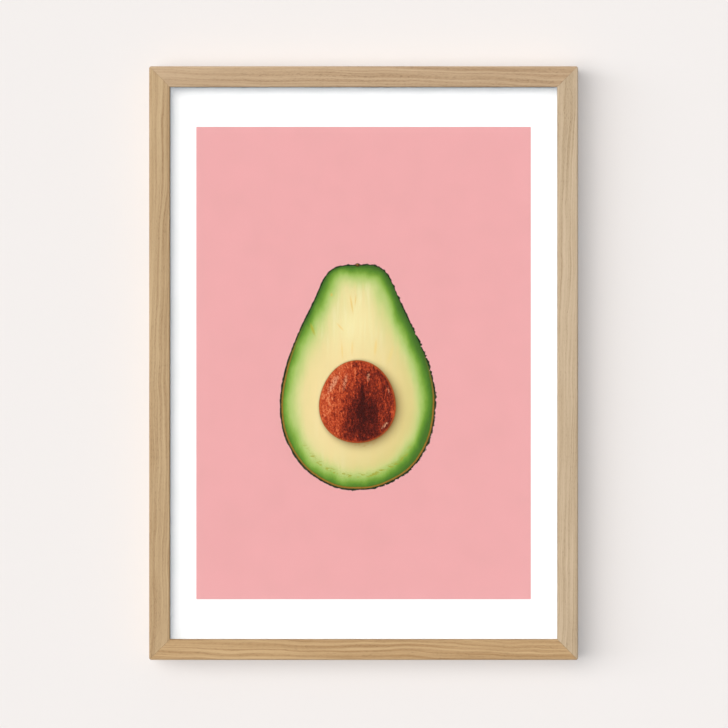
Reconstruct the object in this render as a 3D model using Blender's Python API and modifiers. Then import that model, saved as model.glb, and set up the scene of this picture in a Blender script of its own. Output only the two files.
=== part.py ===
"""A framed art print: an A3 sheet behind glass in a mitred oak frame, with its back fixings.

Metres, +Z up. The picture faces -Y and +X is on the right of someone who looks at it. The
origin is the hanging point: y = 0 is the wall, z = 0 is the height of the two wall hooks that
the D-rings hang on, and x = 0 is the middle of the frame.
"""

import math

import bmesh
import bpy
from mathutils import Vector

# --- The sheet and what it is framed with ---
SHEET_WIDTH = 0.297
SHEET_HEIGHT = 0.420
PAPER_THICKNESS = 0.0003
GLASS_THICKNESS = 0.002
BOARD_THICKNESS = 0.0025
SHEET_PLAY = 0.001  # room round the sheet in the rebate
PANE_PLAY = 0.0006  # room round the glass and the board in the rebate
FIT_GAP = 0.0003  # clearance between two pieces that touch

# --- The moulding ---
RAIL_FACE = 0.0155
RAIL_DEPTH = 0.022
LIP_COVER = 0.004  # how far the lip covers each edge of the sheet
LIP_THICKNESS = 0.0045
OUTER_EASE = 0.0015  # rounding of the outer front edges and the four outer corners
SIGHT_EASE = 0.0006  # rounding of the front edge next to the glass
BACK_EASE = 0.0005  # rounding of the outer back edges
EASE_SEGMENTS = 4

# --- The corner V-nails ---
V_NAIL_LEG = 0.0050
V_NAIL_THICKNESS = 0.0005
V_NAIL_HEIGHT = 0.008
V_NAIL_SETBACK = 0.0034  # from the two outer faces of the corner to the V's point
V_NAIL_SINK = 0.0002

# --- The flexible tabs that hold the board in ---
TAB_WIDTH = 0.009
TAB_THICKNESS = 0.0004
TAB_IN_WOOD = 0.006
TAB_REACH = 0.012
TAB_CORNER = 0.002
SIDE_TAB_PITCH = 0.140  # three on each upright
END_TAB_PITCH = 0.130  # two on the top rail and two on the bottom rail

# --- The D-ring hangers ---
HOOK_DROP = 0.110  # from the frame's top edge to the wall hooks
RING_WIRE_RADIUS = 0.0009
RING_ARM = 0.0065  # from the pivot to where the bow starts
RING_TILT = math.radians(6)  # how far the hanging ring leans out over its strap
RING_RUN_GAP = 0.0003  # between the ring's bar and the strap's eye
RING_SIDE_GAP = 0.0003  # between each arm of the ring and the strap's edge
STRAP_WIDTH = 0.0062
STRAP_THICKNESS = 0.0008
STRAP_LAYER_GAP = 0.0001
STRAP_STEP = (0.0012, 0.0036)  # where the upper layer comes down, below the pivot
RING_TO_SCREW = 0.002  # between the hanging ring and the screw's head
SCREW_TO_STRAP_END = 0.0045
SCREW_SHANK_RADIUS = 0.0013
SCREW_HEAD_RADIUS = 0.0028
SCREW_HEAD_HEIGHT = 0.0018
SCREW_LENGTH = 0.013  # under the head
SCREW_POINT = 0.003

# --- The wall bumpers ---
BUMPER_RADIUS = 0.0042
BUMPER_HEIGHT = 0.0048
BUMPER_ROUNDING = 0.0014
BUMPER_RISE = 0.018  # above the frame's bottom edge

# --- Places that follow from the sizes ---
SIGHT_WIDTH = SHEET_WIDTH - 2 * LIP_COVER
SIGHT_HEIGHT = SHEET_HEIGHT - 2 * LIP_COVER
FRAME_WIDTH = SIGHT_WIDTH + 2 * RAIL_FACE
FRAME_HEIGHT = SIGHT_HEIGHT + 2 * RAIL_FACE
REBATE_WIDTH = SHEET_WIDTH + 2 * SHEET_PLAY
REBATE_HEIGHT = SHEET_HEIGHT + 2 * SHEET_PLAY
LAND = (FRAME_WIDTH - REBATE_WIDTH) / 2  # width of a rail's back face

HALF_WIDTH = FRAME_WIDTH / 2
TOP_Z = HOOK_DROP
BOTTOM_Z = TOP_Z - FRAME_HEIGHT
MIDDLE_Z = (TOP_Z + BOTTOM_Z) / 2
BACK_Y = -BUMPER_HEIGHT
FRONT_Y = BACK_Y - RAIL_DEPTH
REBATE_Y = FRONT_Y + LIP_THICKNESS
GLASS_Y = REBATE_Y + FIT_GAP
SHEET_Y = GLASS_Y + GLASS_THICKNESS + FIT_GAP
BOARD_Y = SHEET_Y + PAPER_THICKNESS + FIT_GAP
TAB_Y = BOARD_Y + BOARD_THICKNESS + FIT_GAP

EYE_RADIUS = RING_WIRE_RADIUS + RING_RUN_GAP  # inside of the strap's eye
RING_CORNER = RING_WIRE_RADIUS + RING_RUN_GAP  # bend at each end of the ring's bar
RING_HALF_WIDTH = STRAP_WIDTH / 2 + RING_SIDE_GAP + RING_WIRE_RADIUS  # to an arm's middle
RING_REACH = RING_ARM + RING_HALF_WIDTH  # from the pivot to the bow's centre line
SCREW_DROP = RING_REACH + RING_WIRE_RADIUS + RING_TO_SCREW + SCREW_HEAD_RADIUS
STRAP_LENGTH = SCREW_DROP + SCREW_TO_STRAP_END
PIVOT_Z = -(RING_REACH - RING_WIRE_RADIUS)
PIVOT_Y = BACK_Y + FIT_GAP + STRAP_THICKNESS + EYE_RADIUS
STRAP_X = HALF_WIDTH - LAND / 2
STRAP_TOP_Y = BACK_Y + FIT_GAP + 2 * STRAP_THICKNESS + STRAP_LAYER_GAP

OAK = {"colour": (0.604, 0.420, 0.240), "roughness": 0.55, "metallic": 0.0}
GLASS = {"colour": (0.90, 0.96, 0.94), "roughness": 0.05, "metallic": 0.0}
PRINTED_PAPER = {"colour": (0.880, 0.430, 0.434), "roughness": 0.8, "metallic": 0.0}
FIBREBOARD = {"colour": (0.330, 0.200, 0.110), "roughness": 0.85, "metallic": 0.0}
STEEL = {"colour": (0.560, 0.570, 0.580), "roughness": 0.35, "metallic": 1.0}
NICKEL = {"colour": (0.660, 0.640, 0.600), "roughness": 0.22, "metallic": 1.0}
RUBBER = {"colour": (0.090, 0.090, 0.090), "roughness": 0.8, "metallic": 0.0}


def clear_scene():
    for old in list(bpy.data.objects):
        bpy.data.objects.remove(old, do_unlink=True)


def new_collection(name, helper=False):
    made = bpy.data.collections.new(name)
    bpy.context.scene.collection.children.link(made)
    made.hide_render = helper
    return made


def material(name, look):
    made = bpy.data.materials.new(name)
    made.use_nodes = True
    shader = made.node_tree.nodes["Principled BSDF"]
    shader.inputs["Base Color"].default_value = (*look["colour"], 1)
    shader.inputs["Roughness"].default_value = look["roughness"]
    shader.inputs["Metallic"].default_value = look["metallic"]
    return made


def place(obj, name, collection):
    """Names obj, and moves it into collection alone."""
    obj.name = name
    for old in list(obj.users_collection):
        old.objects.unlink(obj)
    collection.objects.link(obj)
    return obj


def as_cutter(obj):
    obj.hide_render = True
    obj.display_type = "WIRE"
    return obj


def box(name, low, high, collection):
    low, high = Vector(low), Vector(high)
    bpy.ops.mesh.primitive_cube_add(size=1, location=(low + high) / 2)
    obj = place(bpy.context.object, name, collection)
    obj.scale = high - low
    bpy.ops.object.transform_apply(location=False, rotation=False, scale=True)
    return obj


def flat_plate(name, outline, y_low, y_high, collection):
    """A mesh plate from an (x, z) outline, between two depths."""
    curve = bpy.data.curves.new(name, "CURVE")
    curve.dimensions = "2D"
    curve.fill_mode = "BOTH"
    curve.extrude = (y_high - y_low) / 2
    spline = curve.splines.new("POLY")
    spline.points.add(len(outline) - 1)
    for point, (x, z) in zip(spline.points, outline):
        point.co = (x, z, 0, 1)
    spline.use_cyclic_u = True
    drawn = bpy.data.objects.new(name + "_outline", curve)
    bpy.context.scene.collection.objects.link(drawn)
    drawn.location.y = (y_low + y_high) / 2
    drawn.rotation_euler.x = math.pi / 2
    return mesh_of(drawn, name, collection)


def mesh_of(drawn, name, collection):
    """Turns a curve object into a mesh object with its caps welded, and removes the curve."""
    bpy.context.view_layer.update()
    graph = bpy.context.evaluated_depsgraph_get()
    mesh = bpy.data.meshes.new_from_object(drawn.evaluated_get(graph))
    obj = bpy.data.objects.new(name, mesh)
    obj.matrix_world = drawn.matrix_world.copy()
    bpy.data.objects.remove(drawn)
    obj.name = name
    collection.objects.link(obj)
    weld(obj)
    return obj


def weld(obj):
    work = bmesh.new()
    work.from_mesh(obj.data)
    bmesh.ops.remove_doubles(work, verts=work.verts, dist=1e-6)
    bmesh.ops.recalc_face_normals(work, faces=work.faces)
    work.to_mesh(obj.data)
    work.free()


def turned(name, profile, steps, centre, collection):
    """A solid of revolution about a line along Y through centre. The profile is a list of
    (radius, y), from its +Y end to its -Y end."""
    mesh = bpy.data.meshes.new(name)
    points = [(radius, 0, height) for radius, height in profile]
    mesh.from_pydata(points, [(i, i + 1) for i in range(len(points) - 1)], [])
    obj = bpy.data.objects.new(name, mesh)
    collection.objects.link(obj)
    spin = obj.modifiers.new("turn", "SCREW")
    spin.axis = "Z"
    spin.steps = spin.render_steps = steps
    spin.use_merge_vertices = True
    spin.merge_threshold = 1e-6
    obj.rotation_euler.x = -math.pi / 2  # the profile's height runs along +Y
    obj.location = centre
    return obj


def cut(obj, cutter, across_mitre=False):
    """Takes cutter away from obj. across_mitre is for a cutter that crosses a mitre: that face
    is itself a rounded cut, so the solver has to sort out where the rail meets itself."""
    tool = obj.modifiers.new("cut_" + cutter.name, "BOOLEAN")
    tool.operation = "DIFFERENCE"
    tool.object = cutter
    tool.use_self = across_mitre


def finish(obj, look):
    obj.data.materials.clear()
    obj.data.materials.append(look)
    if obj.type == "MESH":
        obj.data.shade_smooth()
        obj.data.set_sharp_from_angle(angle=math.radians(35))
    return obj


# --- Rails ---


def weigh_edges(obj, outer_x, outer_z, sight_x, sight_z):
    """Bevel weights of a rail's blank: the outer front edges and the outer corners in full,
    the sight edge and the outer back edges in proportion. An argument is None where the blank
    has no such face."""
    weights = obj.data.attributes.new("bevel_weight_edge", "FLOAT", "EDGE")

    def on(value, face):
        return face is not None and abs(value - face) < 1e-6

    for edge in obj.data.edges:
        ends = [obj.matrix_world @ obj.data.vertices[i].co for i in edge.vertices]
        front = all(abs(end.y - FRONT_Y) < 1e-6 for end in ends)
        back = all(abs(end.y - BACK_Y) < 1e-6 for end in ends)
        side = all(any(on(end.x, face) for face in outer_x) for end in ends)
        side = side and abs(ends[0].x - ends[1].x) < 1e-6
        flat = all(any(on(end.z, face) for face in outer_z) for end in ends)
        flat = flat and abs(ends[0].z - ends[1].z) < 1e-6
        sight = front and all(on(end.x, sight_x) or on(end.z, sight_z) for end in ends)
        if (side and flat) or (front and (side or flat)):
            weights.data[edge.index].value = 1.0
        elif back and (side or flat):
            weights.data[edge.index].value = BACK_EASE / OUTER_EASE
        elif sight:
            weights.data[edge.index].value = SIGHT_EASE / OUTER_EASE


def ease_edges(obj):
    tool = obj.modifiers.new("ease", "BEVEL")
    tool.limit_method = "WEIGHT"
    tool.width = OUTER_EASE
    tool.segments = EASE_SEGMENTS
    tool.use_clamp_overlap = False


def mitre_cutter(side, end, rail_runs_across):
    """A block whose face lies on the mitre of one corner, and which takes away what belongs to
    the other rail. side and end are the corner's signs in x and z."""
    size = 4 * RAIL_FACE
    corner = Vector((side * HALF_WIDTH, 0, MIDDLE_Z + end * FRAME_HEIGHT / 2))
    to_upright = Vector((side, 0, -end)).normalized()
    inwards = Vector((-side, 0, -end)).normalized()
    away = to_upright if rail_runs_across else -to_upright
    centre = corner + away * (size - FIT_GAP) / 2 + inwards * RAIL_FACE * math.sqrt(0.5)
    centre.y = (FRONT_Y + BACK_Y) / 2
    bpy.ops.mesh.primitive_cube_add(size=size, location=centre, rotation=(0, math.pi / 4, 0))
    kind = "across" if rail_runs_across else "upright"
    name = f"cutter_mitre_{kind}_{side:+d}_{end:+d}"
    return as_cutter(place(bpy.context.object, name, CUTTERS))


def rail(name, across, sign):
    """One mitred rail. across is True for the top and bottom, and sign is its side in z or x."""
    corners = [(sign * k, k) for k in (-1, 1)]
    if across:
        outer = MIDDLE_Z + sign * FRAME_HEIGHT / 2
        inner = outer - sign * RAIL_FACE
        low = (-HALF_WIDTH, FRONT_Y, min(outer, inner))
        high = (HALF_WIDTH, BACK_Y, max(outer, inner))
        obj = box(name, low, high, FRAME)
        bpy.context.view_layer.update()
        weigh_edges(obj, (-HALF_WIDTH, HALF_WIDTH), (outer,), None, inner)
        corners = [(k, sign) for k in (-1, 1)]
    else:
        outer = sign * HALF_WIDTH
        inner = outer - sign * RAIL_FACE
        low = (min(outer, inner), FRONT_Y, BOTTOM_Z)
        high = (max(outer, inner), BACK_Y, TOP_Z)
        obj = box(name, low, high, FRAME)
        bpy.context.view_layer.update()
        weigh_edges(obj, (outer,), (BOTTOM_Z, TOP_Z), inner, None)
        corners = [(sign, k) for k in (-1, 1)]
    ease_edges(obj)
    cut(obj, REBATE_CUTTER)
    for side, end in corners:
        cut(obj, mitre_cutter(side, end, across))
    return finish(obj, LOOKS["oak"])


def v_outline(side, end, extra):
    """The V-nail's outline seen from the front, grown by extra: its point is on the mitre, and
    each leg lies along one rail."""
    half = V_NAIL_THICKNESS / 2 + extra
    tip = V_NAIL_LEG + extra
    shape = [(-half, -half), (tip, -half), (tip, half), (half, half), (half, tip), (-half, tip)]
    x = side * (HALF_WIDTH - V_NAIL_SETBACK)
    z = MIDDLE_Z + end * (FRAME_HEIGHT / 2 - V_NAIL_SETBACK)
    return [(x - side * u, z - end * v) for u, v in shape]


def v_nail(name, side, end, rails):
    top = BACK_Y - V_NAIL_SINK
    nail = flat_plate(name, v_outline(side, end, 0), top - V_NAIL_HEIGHT, top, FRAME)
    low = top - V_NAIL_HEIGHT - FIT_GAP
    slot = flat_plate(
        "cutter_" + name, v_outline(side, end, FIT_GAP), low, BACK_Y + 0.001, CUTTERS
    )
    as_cutter(slot)
    for wood in rails:
        cut(wood, slot, across_mitre=True)
    return finish(nail, LOOKS["steel"])


# --- What lies in the rebate ---


def sheet_stack():
    """The glass, the printed sheet and the backing board, from the front to the back."""
    pane_width = REBATE_WIDTH - 2 * PANE_PLAY
    pane_height = REBATE_HEIGHT - 2 * PANE_PLAY
    layers = (
        ("glazing", pane_width, pane_height, GLASS_Y, GLASS_THICKNESS, "glass"),
        ("art_print", SHEET_WIDTH, SHEET_HEIGHT, SHEET_Y, PAPER_THICKNESS, "paper"),
        ("backing_board", pane_width, pane_height, BOARD_Y, BOARD_THICKNESS, "board"),
    )
    for name, width, height, y, thickness, look in layers:
        low = (-width / 2, y, MIDDLE_Z - height / 2)
        high = (width / 2, y + thickness, MIDDLE_Z + height / 2)
        finish(box(name, low, high, FRAME), LOOKS[look])


def tab_outline(reach):
    """A tab along +u with its free end's corners rounded: (u, v) from the rebate's wall."""
    half = TAB_WIDTH / 2
    points = [(-TAB_IN_WOOD, -half)]
    for turn, v_sign in ((-90, -1), (0, 1)):
        for step in range(4):
            angle = math.radians(turn + step * 30)
            u = reach - TAB_CORNER + TAB_CORNER * math.cos(angle)
            points.append((u, v_sign * (half - TAB_CORNER) + TAB_CORNER * math.sin(angle)))
    return points + [(-TAB_IN_WOOD, half)]


def tab(name, wall, along, inwards, wood):
    """A flexible tab fired into a rebate wall. wall is the wall's place on the axis that the
    tab points along, along is its place on the other, and inwards is the way it points."""
    points_across = abs(inwards[0]) > 0

    def to_frame(u, v):
        if points_across:
            return wall + inwards[0] * u, along + v
        return along + v, wall + inwards[1] * u

    outline = [to_frame(u, v) for u, v in tab_outline(TAB_REACH)]
    made = flat_plate(name, outline, TAB_Y, TAB_Y + TAB_THICKNESS, FRAME)
    ends = (-TAB_IN_WOOD - FIT_GAP, 0.001)
    half = TAB_WIDTH / 2 + FIT_GAP
    corners = [to_frame(u, v) for u in ends for v in (-half, half)]
    low = (min(c[0] for c in corners), TAB_Y - FIT_GAP, min(c[1] for c in corners))
    high_y = TAB_Y + TAB_THICKNESS + FIT_GAP
    high = (max(c[0] for c in corners), high_y, max(c[1] for c in corners))
    cut(wood, as_cutter(box("cutter_" + name, low, high, CUTTERS)))
    return finish(made, LOOKS["steel"])


def all_tabs(rails):
    for side, word in ((-1, "left"), (1, "right")):
        for number, step in enumerate((1, 0, -1), start=1):
            wall = side * REBATE_WIDTH / 2
            along = MIDDLE_Z + step * SIDE_TAB_PITCH
            tab(f"tab_{word}_{number}", wall, along, (-side, 0), rails[f"rail_{word}"])
    for end, word in ((1, "top"), (-1, "bottom")):
        for number, step in enumerate((-0.5, 0.5), start=1):
            wall = MIDDLE_Z + end * REBATE_HEIGHT / 2
            along = step * END_TAB_PITCH
            tab(f"tab_{word}_{number}", wall, along, (0, -end), rails[f"rail_{word}"])


# --- Hangers ---


def strap_path():
    """The strap's middle surface in section, as (y, z) from the pivot: up the lower layer,
    round the ring's bar, and down again to lie on the lower layer."""
    radius = EYE_RADIUS + STRAP_THICKNESS / 2
    lower = -radius
    upper = lower + STRAP_THICKNESS + STRAP_LAYER_GAP
    start, end = STRAP_STEP
    path = [(lower, -STRAP_LENGTH)]
    turns = 12
    for i in range(turns + 1):
        angle = math.pi - math.pi * i / turns
        path.append((radius * math.cos(angle), radius * math.sin(angle)))
    steps = 6
    for i in range(steps + 1):
        share = i / steps
        drop = share * share * (3 - 2 * share)
        path.append((radius + (upper - radius) * drop, -(start + (end - start) * share)))
    return path + [(upper, -STRAP_LENGTH)]


def strap(name, x):
    """The steel strip, folded double round the ring's bar, with its screw hole."""
    path = strap_path()
    half = STRAP_WIDTH / 2
    mesh = bpy.data.meshes.new(name)
    points = [(side * half, y, z) for y, z in path for side in (-1, 1)]
    faces = [(2 * i, 2 * i + 1, 2 * i + 3, 2 * i + 2) for i in range(len(path) - 1)]
    mesh.from_pydata(points, [], faces)
    obj = bpy.data.objects.new(name, mesh)
    FRAME.objects.link(obj)
    obj.location = (x, PIVOT_Y, PIVOT_Z)
    shell = obj.modifiers.new("thickness", "SOLIDIFY")
    shell.thickness = STRAP_THICKNESS
    shell.offset = 0
    shell.use_even_offset = True
    hole_y = (BACK_Y - 0.002 + STRAP_TOP_Y + 0.002) / 2
    bpy.ops.mesh.primitive_cylinder_add(
        vertices=24,
        radius=SCREW_SHANK_RADIUS + FIT_GAP,
        depth=STRAP_TOP_Y - BACK_Y + 0.004,
        location=(x, hole_y, PIVOT_Z - SCREW_DROP),
        rotation=(math.pi / 2, 0, 0),
    )
    cut(obj, as_cutter(place(bpy.context.object, "cutter_hole_" + name, CUTTERS)))
    return finish(obj, LOOKS["nickel"])


def d_ring(name, x):
    """The wire D, hanging from its bar and leaning out over the strap."""
    bow_steps = 16
    corner = RING_CORNER
    points = []
    for side, start in ((-1, 180), (1, 270)):  # the two rounded ends of the bar
        for step in range(4):
            angle = math.radians(start + step * 30)
            centre_x = side * (RING_HALF_WIDTH - corner)
            points.append((centre_x + corner * math.cos(angle), corner + corner * math.sin(angle)))
    for step in range(bow_steps + 1):
        angle = math.pi * step / bow_steps
        points.append(
            (RING_HALF_WIDTH * math.cos(angle), RING_ARM + RING_HALF_WIDTH * math.sin(angle))
        )
    curve = bpy.data.curves.new(name, "CURVE")
    curve.dimensions = "3D"
    curve.bevel_depth = RING_WIRE_RADIUS
    curve.bevel_resolution = 3
    spline = curve.splines.new("POLY")
    spline.points.add(len(points) - 1)
    for point, (across, reach) in zip(spline.points, points):
        lean = reach * math.sin(RING_TILT)
        point.co = (across, lean, -reach * math.cos(RING_TILT), 1)
    spline.use_cyclic_u = True
    obj = bpy.data.objects.new(name, curve)
    FRAME.objects.link(obj)
    obj.location = (x, PIVOT_Y, PIVOT_Z)
    curve.materials.append(LOOKS["nickel"])
    return obj


def strap_screw(name, x, wood):
    """The pan-head screw through the strap, and its pilot hole in the upright."""
    under_head = STRAP_TOP_Y + FIT_GAP
    radius, head, height = SCREW_SHANK_RADIUS, SCREW_HEAD_RADIUS, SCREW_HEAD_HEIGHT
    profile = [
        (0, height),
        (head * 0.55, height * 0.93),
        (head * 0.88, height * 0.62),
        (head, height * 0.25),
        (head, 0),
        (radius, 0),
        (radius, SCREW_POINT - SCREW_LENGTH),
        (0, -SCREW_LENGTH),
    ]
    centre = (x, under_head, PIVOT_Z - SCREW_DROP)
    screw = turned(name, profile, 24, centre, FRAME)
    pilot_depth = SCREW_LENGTH - (under_head - BACK_Y) + FIT_GAP
    bpy.ops.mesh.primitive_cylinder_add(
        vertices=24,
        radius=radius + FIT_GAP,
        depth=pilot_depth + 0.001,
        location=(x, BACK_Y - (pilot_depth - 0.001) / 2, PIVOT_Z - SCREW_DROP),
        rotation=(math.pi / 2, 0, 0),
    )
    cut(wood, as_cutter(place(bpy.context.object, "cutter_pilot_" + name, CUTTERS)))
    return finish(screw, LOOKS["steel"])


def bumper(name, x):
    """A stick-on rubber dot with a rounded rim. Its flat face touches the wall."""
    height = BUMPER_HEIGHT - FIT_GAP
    profile = [(0, height)]
    for step in range(5):
        angle = math.pi / 2 * (1 - step / 4)
        r = BUMPER_RADIUS - BUMPER_ROUNDING + BUMPER_ROUNDING * math.cos(angle)
        profile.append((r, height - BUMPER_ROUNDING + BUMPER_ROUNDING * math.sin(angle)))
    profile += [(BUMPER_RADIUS, 0), (0, 0)]
    centre = (x, BACK_Y + FIT_GAP, BOTTOM_Z + BUMPER_RISE)
    return finish(turned(name, profile, 32, centre, FRAME), LOOKS["rubber"])


# --- Assembly ---

clear_scene()
FRAME = new_collection("framed_art_print")
CUTTERS = new_collection("cutters", helper=True)
LOOKS = {
    "oak": material("oak", OAK),
    "glass": material("glass", GLASS),
    "paper": material("printed_paper", PRINTED_PAPER),
    "board": material("fibreboard", FIBREBOARD),
    "steel": material("zinc_steel", STEEL),
    "nickel": material("nickel_plate", NICKEL),
    "rubber": material("rubber", RUBBER),
}
REBATE_CUTTER = as_cutter(
    box(
        "cutter_rebate",
        (-REBATE_WIDTH / 2, REBATE_Y, MIDDLE_Z - REBATE_HEIGHT / 2),
        (REBATE_WIDTH / 2, BACK_Y + 0.001, MIDDLE_Z + REBATE_HEIGHT / 2),
        CUTTERS,
    )
)
RAILS = {
    "rail_top": rail("rail_top", True, 1),
    "rail_bottom": rail("rail_bottom", True, -1),
    "rail_left": rail("rail_left", False, -1),
    "rail_right": rail("rail_right", False, 1),
}
for end, upper in ((1, "top"), (-1, "bottom")):
    for side, lateral in ((-1, "left"), (1, "right")):
        pair = (RAILS[f"rail_{upper}"], RAILS[f"rail_{lateral}"])
        v_nail(f"v_nail_{upper}_{lateral}", side, end, pair)
sheet_stack()
all_tabs(RAILS)
for side, lateral in ((-1, "left"), (1, "right")):
    strap(f"hanger_strap_{lateral}", side * STRAP_X)
    d_ring(f"d_ring_{lateral}", side * STRAP_X)
    strap_screw(f"hanger_screw_{lateral}", side * STRAP_X, RAILS[f"rail_{lateral}"])
    bumper(f"wall_bumper_{lateral}", side * (HALF_WIDTH - LAND / 2))
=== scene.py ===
"""A framed art print, dressed for its portrait: an A3 sheet behind glass in a mitred oak frame
that hangs on a pale wall. Metres, +Z up, the picture faces -Y, and the wall is at y = 0."""

import math

import bmesh
import bpy
import numpy as np
from mathutils import Matrix, Vector


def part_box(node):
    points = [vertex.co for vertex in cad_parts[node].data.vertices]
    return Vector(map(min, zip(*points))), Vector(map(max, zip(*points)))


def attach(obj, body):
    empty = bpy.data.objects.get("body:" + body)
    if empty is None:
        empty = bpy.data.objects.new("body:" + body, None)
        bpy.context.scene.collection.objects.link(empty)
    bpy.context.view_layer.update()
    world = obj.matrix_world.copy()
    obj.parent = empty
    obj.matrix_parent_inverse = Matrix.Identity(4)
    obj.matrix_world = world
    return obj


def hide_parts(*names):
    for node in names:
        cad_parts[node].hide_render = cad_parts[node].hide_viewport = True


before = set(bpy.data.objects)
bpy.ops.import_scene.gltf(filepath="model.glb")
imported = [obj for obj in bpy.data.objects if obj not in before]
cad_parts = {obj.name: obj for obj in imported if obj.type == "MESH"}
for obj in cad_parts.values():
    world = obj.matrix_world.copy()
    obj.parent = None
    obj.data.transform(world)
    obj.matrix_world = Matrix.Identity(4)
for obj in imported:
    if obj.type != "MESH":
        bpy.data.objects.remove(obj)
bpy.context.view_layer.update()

# --- Oak rails ---
# Four lengths of one solid oak moulding, cut to 45 degrees at the ends, glued and nailed. The
# face is planed flat, the outer edges and corners are rounded over by hand, and the wood is
# left pale under a thin matt oil, so that its pores stay open.

RAIL_TOP, RAIL_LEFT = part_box("rail_top"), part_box("rail_left")
RAIL_RIGHT, RAIL_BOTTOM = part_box("rail_right"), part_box("rail_bottom")
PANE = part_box("glazing")
FRONT_Y, BACK_Y = RAIL_LEFT[0].y, RAIL_LEFT[1].y
TOP_Z, BOTTOM_Z = RAIL_TOP[1].z, RAIL_BOTTOM[0].z
HALF_WIDTH, HALF_HEIGHT = RAIL_RIGHT[1].x, (TOP_Z - BOTTOM_Z) / 2
MIDDLE_Z = (TOP_Z + BOTTOM_Z) / 2
FACE = RAIL_RIGHT[1].x - RAIL_RIGHT[0].x
PANE_ROOM, FIT_GAP = 0.0006, 0.0003  # round the pane, and between it and the lip
REBATE_HALF_WIDTH = PANE[1].x + PANE_ROOM
REBATE_HALF_HEIGHT = (PANE[1].z - PANE[0].z) / 2 + PANE_ROOM
LAND = HALF_WIDTH - REBATE_HALF_WIDTH
REBATE_Y = PANE[0].y - FIT_GAP
OUTER_ROUND, SIGHT_ROUND, BACK_ROUND = 0.0015, 0.0008, 0.0005
LAND_ROUND, LIP_ROUND = 0.0002, 0.0003
MITRE_GROOVE = 0.00011  # the edges of the glued joint are just broken, which leaves a fine line
GLUE_LINE = 0.00001
CORNER_STEPS = 8
CREASE = 35  # degrees: a sharper edge than this is drawn hard


def rounded(corners, steps=8):
    """A closed outline from (x, y, radius), each corner rounded by its radius."""
    outline = []
    for i, (x, y, radius) in enumerate(corners):
        corner = Vector((x, y))
        before = (Vector(corners[i - 1][:2]) - corner).normalized()
        after = (Vector(corners[(i + 1) % len(corners)][:2]) - corner).normalized()
        if radius == 0:
            outline.append(corner)
            continue
        half = before.angle(after) / 2
        reach = radius / math.tan(half)
        centre = corner + (before + after).normalized() * radius / math.sin(half)
        start = corner + before * reach - centre
        turn = start.angle_signed(corner + after * reach - centre)
        for k in range(steps + 1):
            outline.append(centre + Matrix.Rotation(-turn * k / steps, 2) @ start)
    return outline


def new_object(name, data):
    obj = bpy.data.objects.new(name, data)
    bpy.context.scene.collection.objects.link(obj)
    return obj


def curve_object(name, points, closed):
    """A poly curve through (x, y) or (x, y, z) points."""
    curve = bpy.data.curves.new(name, "CURVE")
    curve.dimensions = "3D"
    spline = curve.splines.new("POLY")
    spline.points.add(len(points) - 1)
    for point, place in zip(spline.points, points):
        point.co = (*place, *([0] * (3 - len(place))), 1)
    spline.use_cyclic_u = closed
    return new_object(name, curve)


def dress(mesh, look):
    mesh.materials.clear()
    mesh.materials.append(look)


class Tree:
    """A Geometry Nodes or shader tree, written one call to a node."""

    def __init__(self, tree):
        self.tree = tree

    def add(self, kind, *values, **settings):
        """A node with its settings and its inputs, in order. A value may be a socket, and None
        leaves an input as it is. A dict among the values sets inputs by name."""
        node = self.tree.nodes.new(kind)
        for key, value in settings.items():
            setattr(node, key, value)
        sockets = [s for s in node.inputs if s.enabled]
        for socket, value in zip(sockets, [v for v in values if not isinstance(v, dict)]):
            self.set(socket, value)
        for named in (v for v in values if isinstance(v, dict)):
            for key, value in named.items():
                self.set(next(s for s in sockets if s.name == key), value)
        return node

    def set(self, socket, value):
        if isinstance(value, bpy.types.NodeSocket):
            self.tree.links.new(value, socket)
        elif isinstance(value, bpy.types.Node):
            self.tree.links.new(self.out(value), socket)
        elif value is not None:
            socket.default_value = value

    def out(self, node):
        return next(s for s in node.outputs if s.enabled)

    def split(self, vector):
        return self.add("ShaderNodeSeparateXYZ", vector).outputs

    def joined(self, x, y, z):
        return self.out(self.add("ShaderNodeCombineXYZ", x, y, z))

    def math(self, operation, a, b=None, c=None):
        return self.out(self.add("ShaderNodeMath", a, b, c, operation=operation))

    def times(self, a, b):
        return self.math("MULTIPLY", a, b)

    def plus(self, a, b):
        return self.math("ADD", a, b)

    def minus(self, a, b):
        return self.math("SUBTRACT", a, b)

    def linear(self, value, slope, start):
        return self.math("MULTIPLY_ADD", value, slope, start)


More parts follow.
